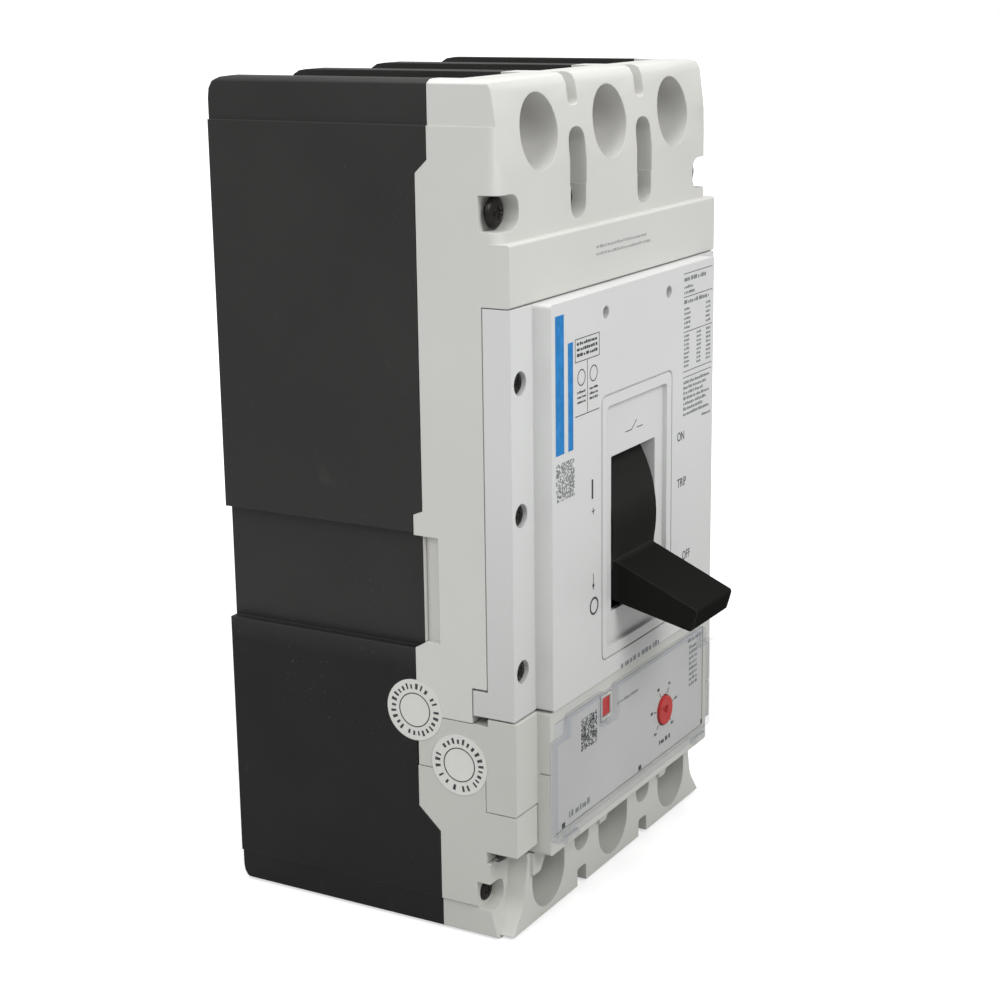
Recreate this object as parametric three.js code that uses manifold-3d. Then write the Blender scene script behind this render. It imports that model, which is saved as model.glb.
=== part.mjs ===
// Three-pole molded case breaker. Millimetres, +Z towards the line end, front towards -Y.
// The origin is the centre of the rear mounting face. Depths are measured forward from that face.
import * as THREE from 'three';
import { mergeVertices } from 'three/addons/utils/BufferGeometryUtils.js';
import Module from 'manifold-3d';

const wasm = await Module();
wasm.setup();

// ---------------------------------------------------------------- driving dimensions
const HALF_W = 69.6;
const HALF_H = 128.65;
const POLE_PITCH = 44.5;
const POLES = { left: -POLE_PITCH, centre: 0, right: POLE_PITCH };
const SIDES = { left: -1, right: 1 };
const GAP = 0.3;

const CHAMBER_HALF = 17.5;        // half width of one pole's chamber
const WALL_X = POLE_PITCH / 2;    // middle of a wall between two poles
const REAR_WALL = 6;
const POCKET_DEPTH = 84;          // front end of a cable pocket
const WINDOW_Z = 113;             // height of the line windows and of the bolt holes
const WINDOW_R = 11.15;
const MOUNT_Z = 107.3;            // height of the mounting holes
const MOUNT_R = 3.5;
const BAND_Z = 115.9;             // the end bands above and below this are set in
const BAND_INSET = 0.7;

const BAR_FACE = 102.6;           // depth of the plain bar and the side strips
const BAR_TOP = 83.7;
const BAR_BOTTOM = 65.8;
const PLATEAU_FACE = 108.6;
const PLATEAU_HALF = 56.6;
const LID_SEAM = 93.5;            // depth of the joint between main cover and front cover
const FRONT_TOP = 65.5;
const FRONT_BOTTOM = -56.8;
const TRIP_TOP = -59.7;           // top of the trip unit's side, below the main cover
const TRIP_SIDE_BOTTOM = -76;
const TRIP_BLOCK_BOTTOM = -86.9;
const PANEL_TOP = -57.4;
const PANEL_BOTTOM = -103.5;
const PANEL_FACE = 107.5;
const LOAD_FACE = 100;
const LOAD_CORNER_FACE = 93.5;    // the load end's corners are set back beside the raised middle
const LOAD_MIDDLE_HALF = 58;
const LOAD_WINDOW = { z: -115.4, r: 10.5, top: -101.9 };
const LOAD_SEAM = 92.4;           // depth of the joint between trip unit and load end cover

const HANDLE_PIVOT = [64, -12];   // depth and height
const HANDLE_REST = -19.5;        // degrees below level, handle at OFF
const SHIELD_R = 43.9;
const SHIELD_SPAN = 51;           // degrees each side of the lever
const CONTACT_PIVOT = [36, -14];
const CONTACT_OPEN = 22;          // degrees the contact arms stand open at OFF
const CRANK_R = 14;
const CRADLE_PIVOT = [72, 14];
const TOGGLE_FOOT = [78, -0.3];   // upper link's pin on the cradle
const LINK_LENGTH = 22.6;
const LINK_FOLD = 29.2;           // degrees each toggle link is folded at OFF
const TRIP_BAR = [80, -73];
const LID_HINGE = [109.1, -99.9];
const BUTTON = { x: -19.4, z: -67, w: 5, h: 6 };
const DIAL = { x: 23.2, z: -82.2, r: 4.9 };

const SCREW_ROWS = [43.8, 4.9, -42.6];
const SCREW_TIP = 58;             // depth of the tips of the long case screws
const CASE_SCREWS = {
  line_corner_screw: { x: 64, z: 92, head: 4.7, shank: 2.2, face: 96.4 },
  line_well_screw: { x: POLE_PITCH / 2, z: 92, head: 4.5, shank: 2.2, face: 96.2 },
  load_corner_screw: { x: 65, z: -115, head: 3.1, shank: 1.4, face: 90.4 },
  trip_unit_screw: { x: 62.5, z: -100.2, head: 4.5, shank: 2.2, face: 96 },
};
const COVER_SCREW = { x: 64.1, head: 3.2, shank: 1.5, face: 102.1, tip: 86 };

// ---------------------------------------------------------------- solids
const AXES = {
  front: [[1, 0, 0], [0, 0, 1], [0, -1, 0]],    // outline in x, z; pushed forward
  side: [[0, -1, 0], [0, 0, 1], [-1, 0, 0]],    // outline in depth, z; pushed towards -X
  top: [[1, 0, 0], [0, -1, 0], [0, 0, -1]],     // outline in x, depth; pushed down
};

function solidOf(geometry) {
  geometry.deleteAttribute('normal');
  geometry.deleteAttribute('uv');
  const merged = mergeVertices(geometry, 1e-4);
  const vertProperties = new Float32Array(merged.attributes.position.array);
  const triVerts = new Uint32Array(merged.index.array);
  return new wasm.Manifold(new wasm.Mesh({ numProp: 3, vertProperties, triVerts }));
}

// A closed outline of [u, v] or [u, v, radius] points, with its corners rounded by the radius.
function outline(points) {
  const shape = new THREE.Shape();
  points.forEach(([u, v, radius = 0], i) => {
    const corner = new THREE.Vector2(u, v);
    const [beforeU, beforeV] = points.at(i - 1);
    const [afterU, afterV] = points[(i + 1) % points.length];
    const before = new THREE.Vector2(beforeU, beforeV).sub(corner).normalize();
    const after = new THREE.Vector2(afterU, afterV).sub(corner).normalize();
    const setback = radius / Math.tan(before.angleTo(after) / 2);
    const entry = before.multiplyScalar(setback).add(corner);
    const exit = after.multiplyScalar(setback).add(corner);
    if (i === 0) shape.moveTo(entry.x, entry.y);
    else shape.lineTo(entry.x, entry.y);
    if (radius) shape.quadraticCurveTo(u, v, exit.x, exit.y);
  });
  shape.closePath();
  return shape;
}

function disc(u, v, radius) {
  return new THREE.Shape().absarc(u, v, radius, 0, 2 * Math.PI);
}

function rect(u, v, radius = 0) {
  return outline([
    [u[0], v[0], radius], [u[1], v[0], radius], [u[1], v[1], radius], [u[0], v[1], radius],
  ]);
}

// Pushes an outline from one station to the next along the axis that the view names.
function prism(view, shape, from, to, curveSegments = 4) {
  const geometry = new THREE.ExtrudeGeometry(shape, { depth: to - from, bevelEnabled: false, curveSegments });
  const [u, v, w] = AXES[view].map((axis) => new THREE.Vector3(...axis));
  const start = view === 'front' ? from : -to;
  geometry.translate(0, 0, start);
  geometry.applyMatrix4(new THREE.Matrix4().makeBasis(u, v, w));
  return solidOf(geometry);
}

function box(x, depth, z) {
  const geometry = new THREE.BoxGeometry(x[1] - x[0], depth[1] - depth[0], z[1] - z[0]);
  geometry.translate((x[0] + x[1]) / 2, -(depth[0] + depth[1]) / 2, (z[0] + z[1]) / 2);
  return solidOf(geometry);
}

// A box between x = from and x = to on both sides of the middle plane.
function boxPair(from, to, depth, z) {
  return box([-to, -from], depth, z).add(box([from, to], depth, z));
}

function rodForward(x, z, radius, from, to, segments = 10) {
  return prism('front', disc(x, z, radius), from, to, segments);
}

function rodAcross([depth, z], radius, from, to, segments = 7) {
  return prism('side', disc(depth, z, radius), from, to, segments);
}

function join(...solids) {
  return solids.flat().reduce((sum, solid) => sum.add(solid));
}

function cut(body, ...tools) {
  return tools.flat().reduce((left, tool) => left.subtract(tool), body);
}

// Turns a solid in the side view about a pivot: positive lifts the front end.
function turned(solid, [depth, z], degrees) {
  return solid.translate([0, depth, -z]).rotate([-degrees, 0, 0]).translate([0, -depth, z]);
}

function polar([depth, z], radius, degrees) {
  const angle = THREE.MathUtils.degToRad(degrees);
  return [depth + radius * Math.cos(angle), z + radius * Math.sin(angle)];
}

// ---------------------------------------------------------------- materials
function paint(hex, roughness, metalness = 0) {
  return new THREE.MeshStandardMaterial({ color: hex, roughness, metalness });
}

const BLACK = paint(0x2b2b2a, 0.6);
const GREY = paint(0xc9cac6, 0.5);
const HANDLE_BLACK = paint(0x1b1b19, 0.45);
const LABEL_GREY = paint(0xa9aca9, 0.55);
const RED = paint(0xc8301f, 0.4);
const STEEL = paint(0x8f9396, 0.35, 0.9);
const SCREW_BLACK = paint(0x1c1c1c, 0.4, 0.7);
const COPPER = paint(0xb87345, 0.35, 0.95);
const BRAID = paint(0xa8683f, 0.7, 0.8);
const FIBRE = paint(0xb9492f, 0.75);
const BAR_BLACK = paint(0x3a3330, 0.6);
const CLEAR = paint(0xdfe6ee, 0.1);
CLEAR.transparent = true;
CLEAR.opacity = 0.35;

const breaker = new THREE.Group();

function place(name, solid, material) {
  const mesh = solid.getMesh();
  const geometry = new THREE.BufferGeometry();
  geometry.setAttribute('position', new THREE.BufferAttribute(mesh.vertProperties, 3));
  geometry.setIndex(new THREE.BufferAttribute(mesh.triVerts, 1));
  geometry.computeVertexNormals();
  const node = new THREE.Mesh(geometry, material);
  node.name = name;
  breaker.add(node);
}

// ---------------------------------------------------------------- shared case shapes
// The joint between the black housing and the grey covers, top to bottom, as [depth, z].
function seam(offset) {
  const points = [
    [76, HALF_H], [76, 106.4], [72, 102.6], [72, 3.9], [68.8, 2.6], [68.8, -3.6], [72, -3.6],
    [72, -36.6], [68.5, -38.6], [68.5, -89.4], [76, -96.4], [76, -HALF_H],
  ];
  return points.map(([depth, z]) => [depth + offset, z]);
}

const CASE_OUTLINE = outline([
  [-HALF_W, -HALF_H, 3], [HALF_W, -HALF_H, 3], [HALF_W, HALF_H, 4], [-HALF_W, HALF_H, 4],
]);
const caseEnvelope = prism('front', CASE_OUTLINE, -1, PLATEAU_FACE + 1);

function endBands() {
  return [-1, 1].map((end) => {
    const z = end > 0 ? [BAND_Z, HALF_H + 1] : [-HALF_H - 1, -BAND_Z - 2.6];
    return boxPair(HALF_W - BAND_INSET, HALF_W + 1, [-1, PLATEAU_FACE], z);
  });
}

function chambers(depth, z) {
  return Object.values(POLES).map((x) => box([x - CHAMBER_HALF, x + CHAMBER_HALF], depth, z));
}

function mountingHoles(end, from, to) {
  return [-WALL_X, WALL_X].map((x) => rodForward(x, end * MOUNT_Z, MOUNT_R, from, to, 6));
}

function lineWindows() {
  return Object.values(POLES).map((x) => rodForward(x, WINDOW_Z, WINDOW_R, POCKET_DEPTH - 5, 110, 15));
}

// Windows with a round lower end and straight sides.
function loadWindows() {
  const { z, r, top } = LOAD_WINDOW;
  return Object.values(POLES).map((x) => join(
    rodForward(x, z, r, POCKET_DEPTH - 5, 110, 15),
    box([x - r, x + r], [POCKET_DEPTH - 5, 110], [z, top]),
  ));
}

const LINE_SCREWS = [CASE_SCREWS.line_corner_screw, CASE_SCREWS.line_well_screw];
const LOAD_SCREWS = [CASE_SCREWS.load_corner_screw, CASE_SCREWS.trip_unit_screw];

// Round posts inside the case, one for the screw on each side.
function posts({ x, z }, from, to) {
  return [-x, x].map((side) => rodForward(side, z, 5, from, to, 7));
}

function screwHoles(screws, from, to) {
  return screws.flatMap(({ x, z, shank }) => (
    [-x, x].map((side) => rodForward(side, z, shank + GAP, from, to, 5))
  ));
}

// ---------------------------------------------------------------- housing and covers
function baseHousing() {
  const profile = outline([[0, -HALF_H, 5], [0, HALF_H, 6.5], ...seam(0)]);
  const body = prism('side', profile, -HALF_W, HALF_W).intersect(caseEnvelope);
  const crossWalls = [chambers([19.5, 66], [80.5, 83.5]), chambers([24.5, 66], [-96, -93])];
  const shell = cut(
    body,
    endBands(),
    chambers([REAR_WALL, 80], [-HALF_H - 1, HALF_H + 1]),
    chambers([-1, 20], [HALF_H - 3, HALF_H + 1]),
    boxPair(HALF_W - 3, HALF_W + 1, [-1, 80], [-38.9, -2.8]),
    box([-62, 62], [26.5, 80], [CONTACT_PIVOT[1] - 9.5, CONTACT_PIVOT[1] + 9.5]),
    mountingHoles(1, -1, 80),
    mountingHoles(-1, -1, 80),
  );
  const linePosts = posts(CASE_SCREWS.line_corner_screw, 40, 66);
  const loadPosts = posts(CASE_SCREWS.trip_unit_screw, 40, 66);
  const solid = join(shell, crossWalls.flat(), linePosts, loadPosts).intersect(caseEnvelope);
  return cut(solid, screwHoles([...LINE_SCREWS, ...LOAD_SCREWS], 45, 80));
}

// Tilted face of the line terminals, as [depth, z] from the bar upwards.
const LINE_FACE = [[100.4, BAR_TOP], [100.4, 95], [98.7, 113], [97, HALF_H - 3], [95.8, HALF_H - 0.8]];

// The sharp vertical corners that are rounded off in front of the terminals.
function cornerTrim(face, z) {
  const plan = outline([[-HALF_W, 50], [HALF_W, 50], [HALF_W, face, 3.6], [-HALF_W, face, 3.6]]);
  return box([-80, 80], [60, 115], z).subtract(prism('top', plan, ...z));
}

// A well between two windows: an upper part for the mounting screw, a narrower screw seat below.
function lineWell(x) {
  const upper = rect([x - 5.25, x + 5.25], [96, 113], 5.2);
  const seat = rect([x - 4.9, x + 4.9], [86.2, 104], 4.8);
  const notch = rect([x - 3, x + 3], [119, HALF_H + 4], 2.2);
  const bridge = box([x - 5.25, x + 5.25], [87, 110], [96, 103]);
  return [
    bridge,
    prism('front', upper, 87, 110),
    prism('front', seat, 93, 110),
    prism('front', notch, 92, 110),
  ];
}

// Recesses for the corner screws, rounded inside and open through the case side.
function cornerRecesses(inner, z, half, floor) {
  const left = rect([-HALF_W - 8, -inner], [z - half, z + half], half - 0.5);
  const right = rect([inner, HALF_W + 8], [z - half, z + half], half - 0.5);
  return [left, right].map((shape) => prism('front', shape, floor, 110));
}

function mainCover() {
  const bottom = TRIP_TOP + GAP;
  const rear = seam(GAP).slice(0, 9).concat([[68.8, bottom]]);
  const front = [
    [88.2, bottom], [88.2, -48.3], [LID_SEAM - 0.15, -48.3], [LID_SEAM - 0.15, BAR_BOTTOM],
    [BAR_FACE, BAR_BOTTOM, 0.8], [BAR_FACE, BAR_TOP, 0.8], ...LINE_FACE, [94, HALF_H],
  ];
  const body = prism('side', outline([...rear, ...front]), -HALF_W, HALF_W).intersect(caseEnvelope);
  const shell = cut(
    body,
    cornerTrim(99.6, [BAR_TOP, HALF_H + 1]),
    endBands(),
    chambers([60, POCKET_DEPTH], [66, HALF_H + 1]),
    chambers([60, 89.2], [-80, 62]),
    box([-CHAMBER_HALF, CHAMBER_HALF], [80, 98], [-52, 28]),
    lineWindows(),
    [-WALL_X, WALL_X].flatMap(lineWell),
    cornerRecesses(58.4, 92, 5.1, 92.8),
    mountingHoles(1, 60, 90),
    boxPair(HALF_W - 2, HALF_W + 1, [72.35, 77.4], [-36.4, -3.7]),
  );
  return cut(
    join(shell, posts(CASE_SCREWS.line_corner_screw, 72.5, 86)),
    screwHoles(LINE_SCREWS, 60, 96),
    coverScrewRods(1.9, 84, 95, 5),
  );
}

function coverScrewRods(radius, from, to, segments) {
  return SCREW_ROWS.flatMap((z) => (
    [-COVER_SCREW.x, COVER_SCREW.x].map((x) => rodForward(x, z, radius, from, to, segments))
  ));
}

function frontCover() {
  const z = [FRONT_BOTTOM, FRONT_TOP];
  const strips = prism('front', rect([-HALF_W, HALF_W], z), LID_SEAM + 0.15, BAR_FACE);
  const plateau = prism('front', rect([-PLATEAU_HALF, PLATEAU_HALF], z, 1.2), 95, PLATEAU_FACE);
  const tabs = boxPair(63, HALF_W, [88.6, 96], [FRONT_BOTTOM, -49]);
  const collar = boxPair(15.5, 17.3, [96, 106], [-40, 16]);
  const hollow = box([-53.5, 53.5], [90, 105.4], [FRONT_BOTTOM + 3, FRONT_TOP - 3]);
  const groove = prism('front', rect([-25, 25], [-50.8, 33.3], 3), 108, 110)
    .subtract(prism('front', rect([-24.4, 24.4], [-50.2, 32.7], 2.4), 107, 111));
  const dish = prism('front', rect([-21, 21], [-47, 29.4], 1.5), 107, 110);
  const shell = cut(join(strips, plateau, tabs), hollow, groove, dish);
  return cut(
    join(shell, collar),
    prism('front', rect([-15.5, 15.5], [-36.9, 12.7], 0.6), 94, 110),
    [-22, 22].map((x) => rodForward(x, 58.5, 2, 100, 110, 8)),
    coverScrewRods(3.6, 99.6, 105, 9),
    coverScrewRods(1.9, 90, 105, 5),
  );
}

// The trip button's outline seen from the front, made larger all round.
function aroundButton(margin) {
  const { x, z, w, h } = BUTTON;
  const [wide, high] = [w / 2 + margin, h / 2 + margin];
  return rect([x - wide, x + wide], [z - high, z + high], 0.5);
}

function tripUnitHousing() {
  const side = prism('side', outline([
    [68.8 + GAP, TRIP_SIDE_BOTTOM], [68.8 + GAP, TRIP_TOP], [LID_SEAM, TRIP_TOP], [LID_SEAM, PANEL_TOP],
    [103, PANEL_TOP, 0.6], [103, TRIP_BLOCK_BOTTOM, 0.6],
    [LOAD_SEAM + 0.2, TRIP_BLOCK_BOTTOM], [LOAD_SEAM + 0.2, TRIP_SIDE_BOTTOM],
  ]), -HALF_W, HALF_W);
  const panelFace = rect([-PLATEAU_HALF, PLATEAU_HALF], [PANEL_BOTTOM, PANEL_TOP], 1);
  const panel = prism('front', panelFace, LOAD_SEAM + 0.2, PANEL_FACE);
  const joint = boxPair(PLATEAU_HALF - 0.5, PLATEAU_HALF + 1, [104, 110], [-77.4, -76.9]);
  const shell = cut(
    join(side, panel),
    box([-61.5, 61.5], [60, 89], [-80, -50]),
    box([-53, 53], [80, 103.6], [-100, -61]),
    joint,
    prism('front', rect([-54, 54], [-97.8, -61.6], 1), PANEL_FACE - 1.2, 110),
  );
  return cut(
    join(shell, prism('front', aroundButton(1.2), 105, PANEL_FACE)),
    prism('front', aroundButton(GAP), 90, 110),
    rodForward(DIAL.x, DIAL.z, DIAL.r + GAP, 90, 110),
  );
}

// A small stiffening rib that covers the upper left of a load terminal window.
function windowRib(x) {
  const top = PANEL_BOTTOM - GAP;
  return outline([[x - 11.9, top], [x - 11.9, -111.2], [x - 7.5, -111.2], [x - 4.6, -107.6], [x - 4, top]]);
}

// Everything in front of the load end's corners, outside the round-cornered raised middle.
function loadCornerTrim() {
  const half = LOAD_MIDDLE_HALF;
  const bottom = 0.9 - HALF_H;
  const foot = half + 9;
  const middle = outline([
    [-foot, bottom], [foot, bottom], [half + 2.5, -119.5, 12], [half, -106],
    [half, -90], [-half, -90], [-half, -106], [-half - 2.5, -119.5, 12],
  ]);
  const front = outline([
    [LOAD_CORNER_FACE, -100], [LOAD_CORNER_FACE, -120],
    [LOAD_CORNER_FACE + 2.3, -HALF_H - 1], [115, -HALF_H - 1], [115, -100],
  ]);
  return prism('side', front, -80, 80).subtract(prism('front', middle, 90, 116, 8));
}

function loadEndCover() {
  const rear = seam(GAP).slice(9).map(([depth, z], i) => [depth, i ? z : TRIP_SIDE_BOTTOM - GAP]);
  const front = [
    [LOAD_FACE, -HALF_H], [LOAD_FACE, PANEL_BOTTOM - GAP],
    [LOAD_SEAM, PANEL_BOTTOM - GAP], [LOAD_SEAM, TRIP_SIDE_BOTTOM - GAP],
  ];
  const profile = outline([rear[0], [68.8, -89.4], ...rear.slice(1), ...front]);
  const blocks = boxPair(PLATEAU_HALF + GAP, HALF_W, [90, 103], [-100, TRIP_BLOCK_BOTTOM - GAP]);
  const body = join(prism('side', profile, -HALF_W, HALF_W), blocks).intersect(caseEnvelope);
  const unit = CASE_SCREWS.trip_unit_screw;
  const shell = cut(
    body,
    loadCornerTrim(),
    endBands(),
    chambers([60, POCKET_DEPTH], [-HALF_H - 1, -104]),
    chambers([60, 88.5], [-101, -70]),
    box([-61.5, 61.5], [74, 88.5], [-86, -70]),
    loadWindows(),
    [-WALL_X, WALL_X].map((x) => prism('front', rect([x - 5, x + 5], [-116, -90], 4.9), 87, 110)),
    [-WALL_X, WALL_X].map((x) => prism('front', rect([x - 3, x + 3], [-HALF_H - 4, -122], 1.2), 92, 110)),
    cornerRecesses(61.4, CASE_SCREWS.load_corner_screw.z, 4.5, 89),
    mountingHoles(-1, 60, 90),
    [-unit.x, unit.x].map((x) => rodForward(x, unit.z, unit.head + 0.7, 92.6, 99, 10)),
  );
  const ribs = Object.values(POLES).map((x) => prism('front', windowRib(x), 99.5, 101.2));
  return cut(join(shell, ribs, posts(unit, 76.5, 86)), screwHoles(LOAD_SCREWS, 60, 96));
}

// ---------------------------------------------------------------- clear cover, label plate, controls
function clearCover() {
  const plan = outline([
    [-57.4, -98.7, 1], [57.4, -98.7, 1], [57.4, -66.3, 1], [50.4, -66.3, 1], [49.6, -60.3, 1],
    [-48, -60.3, 1], [-48.8, -66.3, 1], [-57.4, -66.3, 1],
  ]);
  const rim = prism('front', plan, PANEL_FACE + GAP, 110.4);
  const inside = prism('front', rect([-56, 56], [-97.4, -67.6], 0.8), 100, 109.2)
    .add(prism('front', rect([-47.4, 48.2], [-70, -61.6], 0.8), 100, 109.2));
  const slotWall = prism('front', rect([-25.7, -15.3], [-72, -60.3], 1.6), 107.9, 109.5);
  const slot = prism('front', rect([-24.7, -16.3], [-71, -50], 1), 100, 112);
  const knuckles = [-47, 47].map((x) => rodAcross(LID_HINGE, 1.25, x - 4, x + 4, 8));
  return join(join(cut(rim, inside), slotWall).subtract(slot), knuckles);
}

function labelPlate() {
  return cut(
    prism('front', rect([-53.7, 53.7], [-97.5, -61.9], 0.8), PANEL_FACE - 1, PANEL_FACE - 0.2),
    prism('front', aroundButton(1.5), 100, 110),
    rodForward(DIAL.x, DIAL.z, DIAL.r + 0.4, 100, 110),
  );
}

function pushButton() {
  const { x, z } = BUTTON;
  return join(
    prism('front', aroundButton(0), 102, PANEL_FACE - 0.4),
    box([x - 5, x + 5], [101.2, 103.2], [z - 3.5, z + 5]),
    box([x - 1.5, x + 1.5], [86.3, 102], [-65.4, -63.3]),
  );
}

function adjustmentDial() {
  const { x, z, r } = DIAL;
  const arrow = outline([[x - 4.2, z + 1.6], [x + 0.8, z - 1.4], [x + 1.6, z + 1.6]]);
  const disk = join(rodForward(x, z, r, 101, 108.2, 14), rodForward(x, z, r + 1.5, 100.8, 103.2));
  return cut(disk, prism('front', arrow, 107.2, 110));
}

// ---------------------------------------------------------------- handle and switching mechanism
function sector(inner, outer, middle, span, half) {
  const from = THREE.MathUtils.degToRad(middle - span);
  const to = THREE.MathUtils.degToRad(middle + span);
  const [depth, z] = HANDLE_PIVOT;
  const shape = new THREE.Shape().absarc(depth, z, outer, from, to);
  shape.absarc(depth, z, inner, to, from, true);
  return prism('side', shape, -half, half, 12);
}

function handle() {
  const shield = sector(SHIELD_R - 2.9, SHIELD_R, HANDLE_REST, SHIELD_SPAN, 15.1);
  const lever = outline([
    [105, -19.4], [106.5, -20.7, 2], [135.6, -33.5, 1.2], [133.6, -40.5, 1.2], [111, -35, 3], [103, -32.6],
  ]);
  const plan = outline([[-13.5, 100], [13.5, 100], [13.1, 137, 2], [-13.1, 137, 2]]);
  const blade = prism('side', lever, -14, 14).intersect(prism('top', plan, -60, 0));
  return join(shield, blade);
}

function handleYoke() {
  const plate = sector(36, 38.5, HANDLE_REST, 12, 14);
  const reach = rodAcross(HANDLE_PIVOT, 38.4, -20, 20, 20);
  const arm = outline([[58.5, -16], [58.5, -8], [104, -20.1], [104, -28.6]]);
  const arms = [-14, 12].map((x) => prism('side', arm, x, x + 2).intersect(reach));
  const stubs = [rodAcross(HANDLE_PIVOT, 2, 10, 13), rodAcross(HANDLE_PIVOT, 2, -13, -10)];
  const bosses = [-14, 12].map((x) => rodAcross(HANDLE_PIVOT, 5, x, x + 2));
  return join(plate, arms, stubs, bosses);
}

function mechanismPlate(side) {
  const profile = outline([[REAR_WALL + GAP, -44], [84, -44, 6], [84, 22, 8], [REAR_WALL + GAP, 22]]);
  const x = side > 0 ? [9.5, 11.5] : [-11.5, -9.5];
  return cut(
    prism('side', profile, ...x),
    rodAcross(CONTACT_PIVOT, 9, -20, 20, 10),
    rodAcross(HANDLE_PIVOT, 2.3, -20, 20),
    rodAcross(CRADLE_PIVOT, 2.3, -20, 20),
  );
}

function cradle() {
  const arm = outline([
    [68, 18, 3], [76, 18, 3], [82, -1, 2], [80, -5], [70, -46, 2], [61, -46, 2], [64, -38], [70, -10],
  ]);
  const arms = [-8.9, 7.7].map((x) => prism('side', arm, x, x + 1.2));
  const stubs = [rodAcross(CRADLE_PIVOT, 2, 8.5, 10.8), rodAcross(CRADLE_PIVOT, 2, -10.8, -8.5)];
  return join(arms, stubs, rodAcross(TOGGLE_FOOT, 2, -8, 8), box([-8, 8], [61.5, 66.5], [-45.5, -41.5]));
}

// The upper link is drawn level, as with the handle at ON, and then folded.
function upperLink() {
  const [depth, z] = TOGGLE_FOOT;
  const plate = rect([depth - LINK_LENGTH - 4, depth + 4], [z - 4, z + 4], 3);
  const plates = [-7.4, 6.2].map((x) => prism('side', plate, x, x + 1.2));
  const bridge = box([-7, 7], [depth - 11, depth - 7], [z + 2.5, z + 4]);
  const holes = [TOGGLE_FOOT, [depth - LINK_LENGTH, z]].map((point) => rodAcross(point, 2.3, -20, 20));
  return turned(cut(join(plates, bridge), holes), TOGGLE_FOOT, LINK_FOLD);
}

const TOGGLE_KNEE = polar(TOGGLE_FOOT, LINK_LENGTH, 180 + LINK_FOLD);
const CRANK_PIN = polar(CONTACT_PIVOT, CRANK_R, 90 + CONTACT_OPEN / 2 - CONTACT_OPEN);

// The lower link ends in a hook that the toggle pin pushes against. It is drawn level, and then folded.
function lowerLink() {
  const [depth, z] = CRANK_PIN;
  const knee = depth + LINK_LENGTH;
  const plate = outline([
    [depth - 4, z - 4, 3], [knee - 5.6, z - 4], [knee - 5.6, z + 2.9], [knee + 4, z + 2.9],
    [knee + 4, z + 5, 1.5], [knee - 8, z + 5], [depth - 4, z + 4, 3],
  ]);
  const plates = [-5.4, 4.2].map((x) => prism('side', plate, x, x + 1.2));
  const bridge = box([-5, 5], [depth + 8, depth + 11], [z + 1.5, z + 3.5]);
  const drawn = cut(join(plates, bridge), rodAcross(CRANK_PIN, 2.3, -20, 20));
  return turned(drawn, CRANK_PIN, -LINK_FOLD);
}

function mainSpring(x) {
  const turns = 6;
  const curve = new THREE.Curve();
  curve.getPoint = (t) => {
    const angle = 2 * Math.PI * turns * t;
    return new THREE.Vector3(x + 1.7 * Math.cos(angle), 1.7 * Math.sin(angle), 7 + 27 * t);
  };
  const wire = new THREE.Shape().absarc(0, 0, 0.45, 0, 2 * Math.PI);
  const coil = new THREE.ExtrudeGeometry(wire, { steps: turns * 9, curveSegments: 3, extrudePath: curve });
  const [depth, z] = HANDLE_PIVOT;
  const upright = solidOf(coil).rotate([90, 0, 0]).translate([0, -depth, z]);
  return turned(upright, HANDLE_PIVOT, HANDLE_REST);
}

// Crossbar and contact arms are drawn closed, and then swung open.
const swungOpen = (solid) => turned(solid, CONTACT_PIVOT, -CONTACT_OPEN);

function crossbar() {
  const [depth, z] = CONTACT_PIVOT;
  const pin = polar(CONTACT_PIVOT, CRANK_R, 90 + CONTACT_OPEN / 2);
  const ears = [-8.9, 7.4].map((x) => box([x, x + 1.5], [depth - 6, depth + 5], [z, z + CRANK_R + 3]));
  const slots = Object.values(POLES).map((x) => box([x - 3.3, x + 3.3], [30.6, 37.6], [z + 1, z + 12]));
  const bar = cut(rodAcross(CONTACT_PIVOT, 8, -60, 60, 10), slots);
  return swungOpen(join(bar, ears, rodAcross(pin, 2, -8, 8)));
}

function contactArm(x) {
  const foot = CONTACT_PIVOT[1] + 1.5;
  const profile = outline([
    [31, foot], [35, foot], [35, -8], [37, -4], [37, 30], [35, 49, 2], [26.6, 49, 1], [26.6, 42], [31, 38],
  ]);
  const arm = prism('side', profile, x - 3, x + 3);
  const pin = polar(CONTACT_PIVOT, CRANK_R, 90 + CONTACT_OPEN / 2);
  return swungOpen(x === 0 ? arm.subtract(rodAcross(pin, 2.4, -9, 9)) : arm);
}

// ---------------------------------------------------------------- current path
function lineConductor(x) {
  return join(
    box([x - 8, x + 8], [34, 38], [85, 124]),
    box([x - 8, x + 8], [14, 38], [84.9, 88.9]),
    box([x - 8, x + 8], [14, 18], [30, 88]),
    box([x - 8, x + 8], [14, 26], [30, 34]),
    box([x - 4, x + 4], [22, 26.2], [30, 50]),
  ).subtract(rodForward(x, WINDOW_Z, 4, 30, 40, 6));
}

function loadConductor(x) {
  return join(
    box([x - 8, x + 8], [34, 38], [-124, -96.5]),
    box([x - 8, x + 8], [20, 38], [-100.5, -96.5]),
    box([x - 8, x + 8], [20, 24], [-100.5, -36]),
  ).subtract(rodForward(x, -WINDOW_Z, 4, 30, 40, 6));
}

function braid(x) {
  const foot = -36 + GAP;
  const profile = outline([
    [20, foot], [24, foot], [24, -28, 4], [27, -22], [27, -19, 1], [23.5, -19, 1], [20, -26, 4],
  ]);
  return prism('side', profile, x - 5, x + 5);
}

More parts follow.
